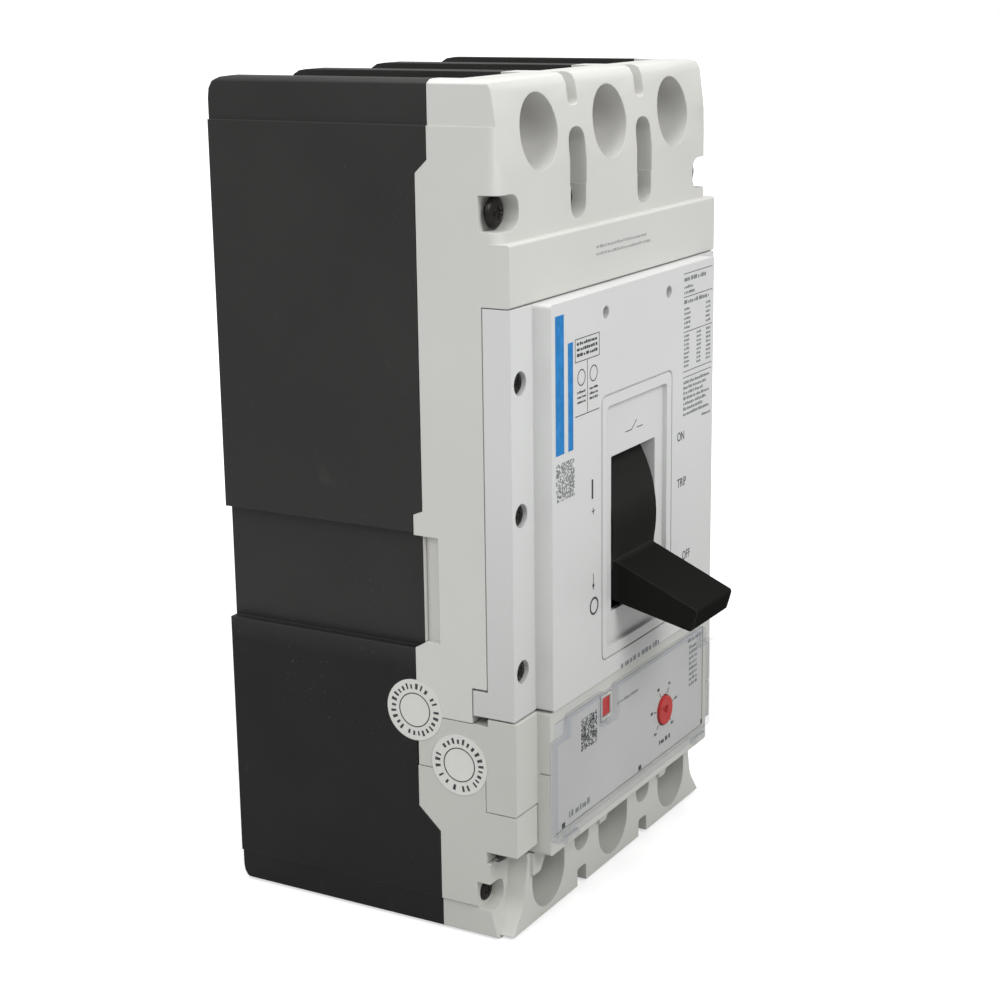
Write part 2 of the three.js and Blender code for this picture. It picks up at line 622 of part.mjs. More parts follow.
function arcChute(x) {
  const boards = [-16.4, 15].map((edge) => box([x + edge, x + edge + 1.4], [22, 70], [42, 78]));
  const plates = [28, 34, 40, 46, 52, 58, 64].map((depth) => (
    box([x - 15.5, x + 15.5], [depth, depth + 1.6], [42, 76])
  ));
  const notch = box([x - 5, x + 5], [20, 70], [40, 57]);
  return join(boards, plates.map((plate) => plate.subtract(notch)));
}

// ---------------------------------------------------------------- trip unit
function tripBar() {
  const fingers = Object.values(POLES).map((x) => box([x - 3, x + 3], [54, 79], [-74.6, -71.4]));
  return join(
    rodAcross(TRIP_BAR, 3, -58, 58),
    fingers,
    box([-3, 3], [57, 60], [-73, -47.8]),
    box([BUTTON.x - 2.2, BUTTON.x + 2.2], [80, 85.6], [-73, -63.6]),
  );
}

function bimetal(x) {
  return join(
    box([x - 5, x + 5], [24.3, 51.5], [-85.6, -84]),
    box([x - 4, x + 4], [50, 51.5], [-85, -58]),
  );
}

function magnetYoke(x) {
  return cut(
    box([x - 11.6, x + 11.6], [16, 34], [-66, -50]),
    box([x - 8.4, x + 8.4], [19.6, 40], [-70, -40]),
  );
}

function armature(x) {
  return join(
    box([x - 11.6, x + 11.6], [36, 38.4], [-68, -49]),
    rodAcross([37.2, -68], 2, x - 11.6, x + 11.6),
  );
}

// ---------------------------------------------------------------- screws
// A pan-head screw with a cross recess. Head and shank are radii, face and tip are the depths of its ends.
function screw({ x, z, head, shank, face, tip }) {
  const rise = head * 0.42;
  const profile = [
    [0, tip], [shank, tip], [shank, face - rise], [head, face - rise],
    [head, face - rise * 0.45], [head * 0.75, face - 0.3], [0, face],
  ];
  const section = profile.map(([radius, depth]) => new THREE.Vector2(radius, depth));
  const body = solidOf(new THREE.LatheGeometry(section, 12)).rotate([180, 0, 0]).translate([x, 0, z]);
  const arm = head * 0.62;
  const slot = head * 0.13;
  const recess = join(
    box([x - arm, x + arm], [face - rise * 0.75, face + 1], [z - slot, z + slot]),
    box([x - slot, x + slot], [face - rise * 0.75, face + 1], [z - arm, z + arm]),
  );
  return body.subtract(recess);
}

// ---------------------------------------------------------------- the assembly
place('base_housing', baseHousing(), BLACK);
place('main_cover', mainCover(), GREY);
place('front_cover', frontCover(), GREY);
place('trip_unit_housing', tripUnitHousing(), GREY);
place('load_end_cover', loadEndCover(), GREY);
place('clear_cover', clearCover(), CLEAR);
place('trip_label_plate', labelPlate(), LABEL_GREY);
place('push_to_trip_button', pushButton(), RED);
place('adjustment_dial', adjustmentDial(), RED);
place('handle', handle(), HANDLE_BLACK);
place('handle_yoke', handleYoke(), STEEL);
place('cradle', cradle(), STEEL);
place('upper_toggle_link', upperLink(), STEEL);
place('toggle_pin', rodAcross(TOGGLE_KNEE, 2, -7.4, 7.4), STEEL);
place('lower_toggle_link', lowerLink(), STEEL);
place('crossbar', crossbar(), BAR_BLACK);
place('trip_bar', tripBar(), BAR_BLACK);

for (const [name, side] of Object.entries(SIDES)) {
  place(`mechanism_plate_${name}`, mechanismPlate(side), STEEL);
  place(`main_spring_${name}`, mainSpring(side * 3.1), STEEL);
  for (const [kind, size] of Object.entries(CASE_SCREWS)) {
    place(`${kind}_${name}`, screw({ ...size, x: side * size.x, tip: SCREW_TIP }), SCREW_BLACK);
  }
  SCREW_ROWS.forEach((z, row) => {
    const solid = screw({ ...COVER_SCREW, x: side * COVER_SCREW.x, z });
    place(`front_cover_screw_${name}_${row + 1}`, solid, SCREW_BLACK);
  });
}

for (const [name, x] of Object.entries(POLES)) {
  place(`contact_arm_${name}`, contactArm(x), COPPER);
  place(`line_conductor_${name}`, lineConductor(x), COPPER);
  place(`load_conductor_${name}`, loadConductor(x), COPPER);
  place(`flexible_braid_${name}`, braid(x), BRAID);
  place(`arc_chute_${name}`, arcChute(x), FIBRE);
  place(`bimetal_${name}`, bimetal(x), STEEL);
  place(`magnet_yoke_${name}`, magnetYoke(x), STEEL);
  place(`armature_${name}`, armature(x), STEEL);
}

export default breaker;
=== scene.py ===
"""Looks of a three-pole molded case breaker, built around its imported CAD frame.

Metres. -Y is the front, +Z the line end, and depths are measured forward from the rear mounting face.
"""
import math
import random

import bmesh
import bpy
from mathutils import Matrix, Vector


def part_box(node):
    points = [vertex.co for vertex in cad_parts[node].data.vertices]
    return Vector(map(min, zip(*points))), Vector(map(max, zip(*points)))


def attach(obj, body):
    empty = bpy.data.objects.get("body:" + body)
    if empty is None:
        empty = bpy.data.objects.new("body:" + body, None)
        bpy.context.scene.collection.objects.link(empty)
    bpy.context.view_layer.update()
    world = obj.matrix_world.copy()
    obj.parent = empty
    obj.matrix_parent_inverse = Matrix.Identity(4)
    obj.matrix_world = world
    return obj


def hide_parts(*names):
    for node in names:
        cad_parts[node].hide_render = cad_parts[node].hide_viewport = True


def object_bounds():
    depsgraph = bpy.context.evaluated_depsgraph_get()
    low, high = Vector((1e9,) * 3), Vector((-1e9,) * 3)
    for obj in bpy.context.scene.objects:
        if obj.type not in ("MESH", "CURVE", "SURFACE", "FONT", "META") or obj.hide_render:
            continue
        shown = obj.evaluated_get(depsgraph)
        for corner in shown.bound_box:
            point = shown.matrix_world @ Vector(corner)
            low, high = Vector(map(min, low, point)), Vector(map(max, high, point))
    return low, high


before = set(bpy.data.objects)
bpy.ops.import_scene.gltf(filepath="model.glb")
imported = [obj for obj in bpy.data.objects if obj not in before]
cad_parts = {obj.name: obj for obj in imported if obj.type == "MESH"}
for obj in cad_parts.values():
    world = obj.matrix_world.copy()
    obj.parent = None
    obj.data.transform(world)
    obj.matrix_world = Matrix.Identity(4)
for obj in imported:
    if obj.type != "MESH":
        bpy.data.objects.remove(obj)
cad_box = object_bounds()

MM = 0.001

# ------------------------------------------------------------------ where things are, from the frame
SIDE_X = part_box("front_cover")[0].x
PLATEAU_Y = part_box("front_cover")[0].y
BEZEL_DROP = 1.6 * MM              # the recessed field above the handle's slot
BAR_Y = PLATEAU_Y + 6.0 * MM
LABEL_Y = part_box("trip_label_plate")[0].y
DIAL = (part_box("adjustment_dial")[0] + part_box("adjustment_dial")[1]) / 2
FLOOR_Z = cad_box[0][2]


# ------------------------------------------------------------------ materials
class Nodes:
    """Short names for building one material's node tree."""

    def __init__(self, name):
        self.material = bpy.data.materials.new(name)
        self.material.use_nodes = True
        self.tree = self.material.node_tree
        self.shader = self.tree.nodes["Principled BSDF"]
        coordinates = self.add("ShaderNodeTexCoord").outputs
        self.place = coordinates["Object"]
        self.facing = coordinates["Normal"]
        self.normal = None

    def add(self, kind, **settings):
        node = self.tree.nodes.new(kind)
        for key, value in settings.items():
            setattr(node, key, value)
        return node

    def link(self, source, target):
        self.tree.links.new(source, target)
        return target

    def noise(self, scale, detail=2.0, rough=0.5, stretch=(1, 1, 1)):
        mapping = self.add("ShaderNodeMapping")
        mapping.inputs["Scale"].default_value = stretch
        self.link(self.place, mapping.inputs["Vector"])
        texture = self.add("ShaderNodeTexNoise")
        texture.inputs["Scale"].default_value = scale
        texture.inputs["Detail"].default_value = detail
        texture.inputs["Roughness"].default_value = rough
        self.link(mapping.outputs["Vector"], texture.inputs["Vector"])
        return texture.outputs["Fac"]

    def ramp(self, source, low, high, out_low=0.0, out_high=1.0):
        node = self.add("ShaderNodeMapRange")
        limits = {"From Min": low, "From Max": high, "To Min": out_low, "To Max": out_high}
        for key, value in limits.items():
            node.inputs[key].default_value = value
        self.link(source, node.inputs["Value"])
        return node.outputs["Result"]

    def math(self, operation, first, second):
        node = self.add("ShaderNodeMath", operation=operation)
        for socket, value in zip(node.inputs, (first, second)):
            if isinstance(value, (int, float)):
                socket.default_value = value
            else:
                self.link(value, socket)
        return node.outputs["Value"]

    def mix(self, factor, first, second):
        node = self.add("ShaderNodeMix", data_type="RGBA")
        for socket, value in ((node.inputs[0], factor), (node.inputs[6], first), (node.inputs[7], second)):
            if isinstance(value, (int, float, tuple)):
                socket.default_value = value
            else:
                self.link(value, socket)
        return node.outputs[2]

    def along(self, vector, axis):
        split = self.add("ShaderNodeSeparateXYZ")
        self.link(vector, split.inputs[0])
        return split.outputs[axis]

    def round_edges(self, radius):
        """Rounds sharp edges off in the shading, and leaves smooth and flat stretches as they are."""
        bevel = self.add("ShaderNodeBevel", samples=6)
        bevel.inputs["Radius"].default_value = radius
        plain = self.add("ShaderNodeNewGeometry").outputs["Normal"]
        dot = self.add("ShaderNodeVectorMath", operation="DOT_PRODUCT")
        self.link(bevel.outputs["Normal"], dot.inputs[0])
        self.link(plain, dot.inputs[1])
        self.likeness = dot.outputs["Value"]
        blend = self.add("ShaderNodeMix", data_type="VECTOR")
        self.link(self.ramp(self.likeness, 0.990, 0.965), blend.inputs[0])
        self.link(plain, blend.inputs[4])
        self.link(bevel.outputs["Normal"], blend.inputs[5])
        self.normal = blend.outputs[1]

    def edges(self):
        """1 along sharp edges and 0 on flat faces."""
        return self.ramp(self.likeness, 0.995, 0.86)

    def bump(self, layers):
        """layers: (height output, strength, distance) from coarse to fine."""
        normal = self.normal
        for height, strength, distance in layers:
            node = self.add("ShaderNodeBump")
            node.inputs["Strength"].default_value = strength
            node.inputs["Distance"].default_value = distance
            self.link(height, node.inputs["Height"])
            if normal is not None:
                self.link(normal, node.inputs["Normal"])
            normal = node.outputs["Normal"]
        self.link(normal, self.shader.inputs["Normal"])


def rgba(red, green, blue):
    return (red, green, blue, 1.0)


def moulded(name, colour, patch, rough, specks=None, grain=0.12, wear=None, wear_amount=0.35, shine=0.4,
            zone=None):
    """Moulded plastic: slow colour patches, fine grain, light specks of dust and worn edges.

    zone: (axis, from, to, colour) turns the plastic towards another colour along one axis of the piece; on the
    black and front mouldings it is painted shade, darker towards the bottom.
    """
    nodes = Nodes(name)
    nodes.round_edges(0.45 * MM)
    surface = nodes.mix(nodes.ramp(nodes.noise(14, 3.0), 0.35, 0.65), colour, patch)
    if zone:
        axis, start, end, other = zone
        surface = nodes.mix(nodes.ramp(nodes.along(nodes.place, axis), start, end), surface, other)
    if specks:
        dust = nodes.ramp(nodes.noise(1100, 2.0), 0.70, 0.78)
        patches = nodes.ramp(nodes.noise(35, 2.0), 0.48, 0.62)
        surface = nodes.mix(nodes.math("MULTIPLY", dust, patches), surface, specks)
        scuff = nodes.ramp(nodes.noise(60, 4.0, 0.6, (6, 1, 0.6)), 0.66, 0.74, 0.0, 0.25)
        surface = nodes.mix(scuff, surface, specks)
    if wear:
        surface = nodes.mix(nodes.math("MULTIPLY", nodes.edges(), wear_amount), surface, wear)
    nodes.link(surface, nodes.shader.inputs["Base Color"])
    roughness = nodes.ramp(nodes.noise(45, 3.0), 0.3, 0.7, rough - 0.05, rough + 0.07)
    nodes.link(roughness, nodes.shader.inputs["Roughness"])
    nodes.shader.inputs["Specular IOR Level"].default_value = shine
    nodes.bump([(nodes.noise(90, 2.0), 0.05, 0.4 * MM), (nodes.noise(2200, 2.0), grain, 0.05 * MM)])
    return nodes.material


def metal(name, colour, tint, rough, stretch, wear):
    """Metal with a stretched brushed grain, stains and bright edges."""
    nodes = Nodes(name)
    nodes.round_edges(0.25 * MM)
    surface = nodes.mix(nodes.ramp(nodes.noise(70, 4.0), 0.35, 0.68), colour, tint)
    surface = nodes.mix(nodes.math("MULTIPLY", nodes.edges(), 0.6), surface, wear)
    nodes.link(surface, nodes.shader.inputs["Base Color"])
    nodes.shader.inputs["Metallic"].default_value = 0.92
    roughness = nodes.ramp(nodes.noise(260, 3.0, 0.5, stretch), 0.3, 0.7, rough - 0.08, rough + 0.12)
    nodes.link(roughness, nodes.shader.inputs["Roughness"])
    nodes.bump([(nodes.noise(900, 2.0, 0.5, stretch), 0.12, 0.04 * MM)])
    return nodes.material


def braid_material():
    nodes = Nodes("copper_braid")
    wave = nodes.add("ShaderNodeTexWave", wave_type="BANDS", bands_direction="DIAGONAL")
    wave.inputs["Scale"].default_value = 420
    nodes.link(nodes.place, wave.inputs["Vector"])
    strands = wave.outputs["Fac"]
    colour = nodes.mix(strands, rgba(0.25, 0.1, 0.04), rgba(0.65, 0.32, 0.16))
    nodes.link(colour, nodes.shader.inputs["Base Color"])
    nodes.shader.inputs["Metallic"].default_value = 0.85
    nodes.link(nodes.ramp(strands, 0, 1, 0.65, 0.4), nodes.shader.inputs["Roughness"])
    nodes.bump([(strands, 0.6, 0.3 * MM)])
    return nodes.material


def clear_material():
    """Clear polycarbonate: see-through, with a soft reflection; the faintly blue, milky colour on grazing
    faces, side walls and edges is painted sheen.
    """
    nodes = Nodes("clear_polycarbonate")
    nodes.round_edges(0.22 * MM)
    through = nodes.add("ShaderNodeBsdfTransparent")
    hue = nodes.ramp(nodes.noise(30, 2.0), 0.3, 0.7)
    tint = nodes.mix(hue, rgba(0.980, 0.978, 0.972), rgba(0.990, 0.988, 0.984))
    nodes.link(tint, through.inputs["Color"])
    # painted sheen: a faintly blue, milky colour for the grazing faces, side walls and edges
    sheen_colour = nodes.mix(hue, rgba(0.20, 0.25, 0.36), rgba(0.30, 0.35, 0.45))
    nodes.link(sheen_colour, nodes.shader.inputs["Base Color"])
    roughness = nodes.ramp(nodes.noise(50, 3.0), 0.3, 0.7, 0.10, 0.22)
    nodes.link(roughness, nodes.shader.inputs["Roughness"])
    nodes.bump([(nodes.noise(25, 2.0), 0.04, 0.2 * MM)])
    facing = nodes.add("ShaderNodeLayerWeight")
    facing.inputs["Blend"].default_value = 0.5
    grazing_sheen = nodes.ramp(facing.outputs["Facing"], 0.75, 1.0, 0.025, 0.35)
    forward = nodes.math("ABSOLUTE", nodes.along(nodes.facing, "Y"), 0)
    wall_sheen = nodes.ramp(forward, 0.9, 0.3, 0.0, 0.13)
    edge_sheen = nodes.math("MULTIPLY", nodes.edges(), 0.75)
    # painted sheen on grazing faces, side walls and edges, mixed with the shader's real gloss
    body = nodes.math("MAXIMUM", edge_sheen, nodes.math("MAXIMUM", wall_sheen, grazing_sheen))
    blend = nodes.add("ShaderNodeMixShader")
    nodes.link(body, blend.inputs[0])
    nodes.link(through.outputs["BSDF"], blend.inputs[1])
    nodes.link(nodes.shader.outputs["BSDF"], blend.inputs[2])
    nodes.link(blend.outputs["Shader"], nodes.tree.nodes["Material Output"].inputs["Surface"])
    return nodes.material


def ink(name, colour, rough=0.5):
    """Print: slightly uneven ink with a faint grain."""
    nodes = Nodes(name)
    faded = rgba(*(min(1.0, part * 1.25 + 0.01) for part in colour[:3]))
    surface = nodes.mix(nodes.ramp(nodes.noise(400, 3.0), 0.4, 0.7), colour, faded)
    nodes.link(surface, nodes.shader.inputs["Base Color"])
    roughness = nodes.ramp(nodes.noise(120, 2.0), 0.3, 0.7, rough - 0.08, rough + 0.08)
    nodes.link(roughness, nodes.shader.inputs["Roughness"])
    nodes.shader.inputs["Specular IOR Level"].default_value = 0.2
    nodes.bump([(nodes.noise(2500, 1.0), 0.05, 0.02 * MM)])
    return nodes.material


MATERIALS = {
    # black: the zone is painted shade, darkening the housing from -36 mm down to -46 mm and below.
    "black": moulded("black_moulding", rgba(0.0172, 0.0172, 0.0165), rgba(0.0215, 0.0215, 0.0205), 0.50,
                     specks=rgba(0.075, 0.075, 0.07), grain=0.2, wear=rgba(0.05, 0.05, 0.047), wear_amount=0.5,
                     zone=("Z", -36 * MM, -46 * MM, rgba(0.0010, 0.0010, 0.0010))),
    "grey": moulded("grey_moulding", rgba(0.600, 0.598, 0.572), rgba(0.625, 0.622, 0.596), 0.48,
                    grain=0.10, wear=rgba(0.74, 0.74, 0.72), wear_amount=0.3),
    # lower: a darker copy of the grey moulding for the lower parts; the darker colour is painted shade.
    "lower": moulded("grey_moulding_painted_shade", rgba(0.520, 0.522, 0.490), rgba(0.545, 0.545, 0.512), 0.50,
                     grain=0.10, wear=rgba(0.66, 0.66, 0.63), wear_amount=0.3),
    # front: the zone is painted shade, darkening the front moulding from 25 mm down to -60 mm.
    "front": moulded("front_moulding", rgba(0.640, 0.648, 0.640), rgba(0.660, 0.668, 0.660), 0.46,
                     grain=0.10, wear=rgba(0.78, 0.78, 0.77), wear_amount=0.3,
                     zone=("Z", 25 * MM, -60 * MM, rgba(0.550, 0.556, 0.545))),
    "handle": moulded("handle_moulding", rgba(0.0235, 0.0235, 0.0225), rgba(0.0265, 0.0260, 0.0255), 0.42,
                      specks=rgba(0.025, 0.025, 0.022), grain=0.25, shine=0.0,
                      wear=rgba(0.06, 0.058, 0.05), wear_amount=0.6,
                      zone=("Y", -107 * MM, -109 * MM, rgba(0.0120, 0.0120, 0.0115))),
    "label": moulded("label_plate", rgba(0.485, 0.492, 0.490), rgba(0.512, 0.519, 0.517), 0.55,
                     grain=0.05, shine=0.25),
    "red": moulded("red_moulding", rgba(0.56, 0.020, 0.014), rgba(0.48, 0.017, 0.012), 0.42,
                   grain=0.06, wear=rgba(0.66, 0.05, 0.035), wear_amount=0.4, shine=0.18),
    "bar": moulded("crossbar_moulding", rgba(0.050, 0.040, 0.034), rgba(0.064, 0.052, 0.044), 0.55, grain=0.2),
    "fibre": moulded("fibre_board", rgba(0.42, 0.10, 0.05), rgba(0.36, 0.08, 0.04), 0.70, grain=0.3),
    "paper": moulded("seal_paper", rgba(0.655, 0.650, 0.620), rgba(0.685, 0.68, 0.65), 0.60, grain=0.12),
    "steel": metal("zinc_steel", rgba(0.50, 0.51, 0.53), rgba(0.42, 0.42, 0.42), 0.35,
                   stretch=(1, 6, 1), wear=rgba(0.7, 0.7, 0.72)),
    "copper": metal("bare_copper", rgba(0.72, 0.36, 0.20), rgba(0.52, 0.24, 0.13), 0.32,
                    stretch=(1, 1, 5), wear=rgba(0.85, 0.5, 0.33)),
    "screw": metal("black_oxide", rgba(0.022, 0.021, 0.020), rgba(0.045, 0.042, 0.040), 0.36,
                   stretch=(1, 1, 1), wear=rgba(0.15, 0.145, 0.14)),
    "braid": braid_material(),
    "clear": clear_material(),
    "dark_ink": ink("dark_ink", rgba(0.045, 0.047, 0.050)),
    "grey_ink": ink("grey_ink", rgba(0.20, 0.21, 0.215)),
    "pale_ink": ink("pale_ink", rgba(0.33, 0.335, 0.335)),
    "blue_ink": ink("blue_ink", rgba(0.010, 0.180, 0.470), 0.5),
}


# ------------------------------------------------------------------ CAD nodes: materials and shading
MATERIAL_OF = {
    "base_housing": "black",
    "main_cover": "grey",
    "front_cover": "front",
    # the trip unit housing and the load end cover take the darker grey, which is painted shade
    "trip_unit_housing": "lower",
    "load_end_cover": "lower",
    "clear": "clear",
    "trip_label": "label",
    "push": "red",
    "adjust": "red",
    "handle_yoke": "steel",
    "handle": "handle",
    "crossbar": "bar",
    "trip_bar": "bar",
    "contact": "copper",
    "line_cond": "copper",
    "load_cond": "copper",
    "flexible": "braid",
    "arc": "fibre",
}


def node_material(name):
    """The key of the first row whose name starts the node's name. Everything else is steel."""
    for start, key in MATERIAL_OF.items():
        if name.startswith(start):
            return key
    return "steel"


def crisp(piece):
    """Smooth rounded stretches, and sharp edges and flat faces that stay flat."""
    weld = piece.modifiers.new("joined_corners", "WELD")
    weld.merge_threshold = 0.002 * MM
    split = piece.modifiers.new("sharp_edges", "EDGE_SPLIT")
    split.split_angle = math.radians(40)
    weighted = piece.modifiers.new("flat_faces", "WEIGHTED_NORMAL")
    weighted.mode = "FACE_AREA_WITH_ANGLE"
    weighted.keep_sharp = True


def dress(name, piece):
    piece.data.materials.clear()
    piece.data.materials.append(MATERIALS[node_material(name)])
    for polygon in piece.data.polygons:
        polygon.use_smooth = True
    crisp(piece)


# ------------------------------------------------------------------ new pieces
def finish_piece(bm, name, material, smooth=False):
    """Makes a piece of its own, fixed to the housing."""
    bmesh.ops.recalc_face_normals(bm, faces=bm.faces)
    mesh = bpy.data.meshes.new(name)
    bm.to_mesh(mesh)
    bm.free()
    for polygon in mesh.polygons:
        polygon.use_smooth = smooth
    piece = bpy.data.objects.new(name, mesh)
    bpy.context.scene.collection.objects.link(piece)
    mesh.materials.append(MATERIALS[material])
    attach(piece, "housing")
    return piece


class Print:
    """Thin printed shapes on one flat face: u runs to the right and v up, both in millimetres."""

    def __init__(self, origin, right, outward, thickness=0.06 * MM):
        self.bm = bmesh.new()
        self.right = Vector(right)
        self.outward = Vector(outward)
        self.up = self.outward.cross(self.right)
        self.origin = Vector(origin)
        self.thickness = thickness

    def point(self, u, v):
        return self.origin + self.right * (u * MM) + self.up * (v * MM)

    def polygon(self, points):
        self.bm.faces.new([self.bm.verts.new(self.point(u, v)) for u, v in points])

    def bar(self, u0, v0, u1, v1):
        self.polygon([(u0, v0), (u1, v0), (u1, v1), (u0, v1)])

    def frame(self, u0, v0, u1, v1, line):
        self.bar(u0, v0, u1, v0 + line)
        self.bar(u0, v1 - line, u1, v1)
        self.bar(u0, v0 + line * 1.01, u0 + line, v1 - line * 1.01)
        self.bar(u1 - line, v0 + line * 1.01, u1, v1 - line * 1.01)

    def ring(self, u, v, inner, outer, start=0.0, sweep=360.0, steps=48):
        closed = sweep >= 360
        angles = [math.radians(start + sweep * i / steps) for i in range(steps if closed else steps + 1)]
        rims = []
        for radius in (inner, outer):
            places = [self.point(u + radius * math.cos(a), v + radius * math.sin(a)) for a in angles]
            rims.append([self.bm.verts.new(place) for place in places])
        for i in range(steps):
            j = (i + 1) % len(angles)
            self.bm.faces.new([rims[0][i], rims[1][i], rims[1][j], rims[0][j]])

    def disc(self, u, v, radius, steps=64):
        angles = [2 * math.pi / steps * i for i in range(steps)]
        self.polygon([(u + radius * math.cos(a), v + radius * math.sin(a)) for a in angles])

    def words(self, u, v, width, height, seed, letter=0.62):
        """A line of unreadable dashes that stands for a line of small print."""
        picker = random.Random(seed)
        at = u
        while at < u + width:
            size = min(picker.choice((1.0, 1.6, 2.2, 3.0)) * letter * height, u + width - at)
            if size > 0.12 * height:
                self.bar(at, v, at + size, v + height * picker.choice((0.72, 0.85, 1.0)))
            at += size + height * picker.choice((0.3, 0.38, 0.7))

    def code(self, u, v, size, cells, seed):
        """A square patch of scattered cells."""
        picker = random.Random(seed)
        cell = size / cells
        for i in range(cells):
            for j in range(cells):
                if picker.random() < 0.5:
                    self.bar(u + i * cell, v + j * cell, u + (i + 0.94) * cell, v + (j + 0.94) * cell)

    def done(self, name, material):
        raised = bmesh.ops.extrude_face_region(self.bm, geom=self.bm.faces[:])
        moved = [item for item in raised["geom"] if isinstance(item, bmesh.types.BMVert)]
        bmesh.ops.translate(self.bm, verts=moved, vec=self.outward * self.thickness)
        finish_piece(self.bm, name, material)


LETTER_HEIGHT = 2.9 * MM
LETTER_DEPTH = 0.03 * MM


def lettering(name, text, x, z):
    """Generic switch-position wording on the front plate."""
    curve = bpy.data.curves.new(name, "FONT")
    curve.body = text
    curve.size = LETTER_HEIGHT / 0.69
    curve.extrude = LETTER_DEPTH
    source = bpy.data.objects.new(name + "_source", curve)
    bpy.context.scene.collection.objects.link(source)
    bpy.context.view_layer.update()
    mesh = bpy.data.meshes.new_from_object(source)
    bpy.data.objects.remove(source)
    narrow = Matrix.Diagonal((0.82, 1, 1, 1))
    place = Matrix.Translation((x, PLATEAU_Y - LETTER_DEPTH, z))
    mesh.transform(place @ Matrix.Rotation(math.pi / 2, 4, "X") @ narrow)
    bm = bmesh.new()
    bm.from_mesh(mesh)
    bmesh.ops.remove_doubles(bm, verts=bm.verts, dist=0.001 * MM)
    finish_piece(bm, name, "dark_ink")


def front_print(y):
    return Print((0, y, 0), right=(1, 0, 0), outward=(0, -1, 0))


def stripes():
    blue = front_print(PLATEAU_Y)
    blue.bar(-54.1, 20.9, -48.9, 61.9)
    blue.bar(-46.4, 20.9, -43.3, 53.0)
    blue.done("blue_stripes", "blue_ink")


def switch_marks():
    """A frame, two rings, the I, + and O marks with an arrow, and the rules of the rating table."""
    dark = front_print(PLATEAU_Y)
    dark.frame(-42.0, 46.4, -26.4, 53.4, 0.22)
    for row in range(3):
        dark.words(-40.8, 48.0 + row * 1.7, 13, 0.9, 11 + row)
    dark.bar(-42.0, 30.2, -26.4, 30.42)
    dark.bar(-34.3, 30.6, -34.1, 46.2)
    for u, seed in ((-41.2, 21), (-33.4, 31)):
        dark.ring(u + 3.2, 41.6, 2.2, 2.5)
        for row in range(3):
            dark.words(u + 0.6, 37.0 - row * 1.5, 5.4, 0.7, seed + row)
    dark.bar(-31.6, 3.2, -30.6, 9.2)
    dark.bar(-31.6, -0.9, -29.6, -0.6)
    dark.bar(-30.75, -1.75, -30.45, 0.25)
    dark.bar(-30.7, -24.6, -30.45, -20.4)
    dark.polygon([(-31.3, -23.8), (-30.58, -25.6), (-29.85, -23.8)])
    dark.ring(-30.1, -30.8, 2.15, 2.85)
    for v in (62.6, 55.0, 43.6, 30.6, 28.7):
        dark.bar(33.0, v, 55.2, v + 0.2)
    dark.done("front_print", "dark_ink")


def rating_table():
    """Small unreadable print at the right, and the square patch at the left."""
    small = front_print(PLATEAU_Y)
    small.code(-54.0, 7.0, 11.4, 25, 5)
    small.words(33.4, 60.2, 17, 1.3, 41)
    small.words(33.4, 57.9, 7, 0.9, 42)
    small.words(33.4, 56.1, 8, 0.9, 43)
    small.words(33.4, 52.9, 19, 1.2, 44)
    for row in range(5):
        for u, width, seed in ((33.6, 4.6, 50), (50.4, 3.4, 60)):
            small.words(u, 50.8 - row * 1.5, width, 0.8, seed + row)
    for row in range(8):
        for u, width, seed in ((33.6, 3.8, 70), (43.4, 3.2, 80), (50.8, 3.4, 90)):
            small.words(u, 42.0 - row * 1.4, width, 0.8, seed + row)
    for row in range(7):
        small.words(33.4, 26.6 - row * 1.75, 20 - (row % 3) * 2.5, 1.0, 100 + row)
    small.words(48.0, 13.6, 7, 0.8, 108)
    small.words(-11.6, -56.8, 28, 1.9, 120, 0.5)
    small.done("rating_print", "grey_ink")


def bar_lines():
    bar = front_print(BAR_Y)
    bar.words(-16.5, 76.6, 34, 0.85, 130)
    bar.words(-16.5, 74.4, 37, 0.85, 131)
    bar.done("bar_print", "pale_ink")


def bezel_symbol():
    symbol = front_print(PLATEAU_Y + BEZEL_DROP)
    symbol.bar(-5.6, 18.4, -1.6, 18.65)
    symbol.bar(2.4, 18.4, 6.4, 18.65)
    symbol.polygon([(-1.6, 18.4), (-1.35, 18.3), (2.2, 21.0), (2.0, 21.2)])
    symbol.done("switch_symbol", "dark_ink")


def position_marks():
    for text, x, z in (("ON", 28.9, 8.4), ("TRIP", 29.2, -7.2), ("OFF", 33.6, -32.8)):
        lettering(f"mark_{text.lower()}", text, x * MM, z * MM)


def plate_marks():
    """Marks of the trip plate: three corner squares, the dial's scale and its caption, and a square patch."""
    dark = front_print(LABEL_Y)
    for u in (-49.2, 4.0, 53.0):
        dark.bar(u, -97.3, u + 2.0, -95.6)
    u, v = DIAL.x / MM, DIAL.z / MM
    for i in range(6):
        angle = math.radians(225 - i * 54)
        direction = Vector((math.cos(angle), math.sin(angle)))
        side = Vector((-direction.y, direction.x)) * 0.17
        centre = Vector((u, v))
        near, far = centre + direction * 5.9, centre + direction * 7.6
        dark.polygon([tuple(near - side), tuple(far - side), tuple(far + side), tuple(near + side)])
        number = centre + direction * 9.3
        dark.words(number.x - 0.9, number.y - 0.5, 1.8, 1.0, 150 + i, 0.5)
    dark.words(u - 3.6, v - 11.4, 8.4, 1.5, 160, 0.5)
    dark.code(-36.3, -76.6, 10.6, 23, 7)
    dark.done("plate_print", "dark_ink")


def plate_lines():
    faint = front_print(LABEL_Y)
    faint.words(-11.4, -69.2, 15, 1.0, 140, 0.5)
    faint.words(-44.6, -95.4, 14.5, 2.0, 141, 0.4)
    faint.words(41.9, -64.4, 12.0, 1.1, 161)
    for row in range(8):
        faint.words(43.0, -67.0 - row * 1.9, 6.4, 1.2, 170 + row)
    faint.done("plate_small_print", "grey_ink")


PAPER = 0.10 * MM


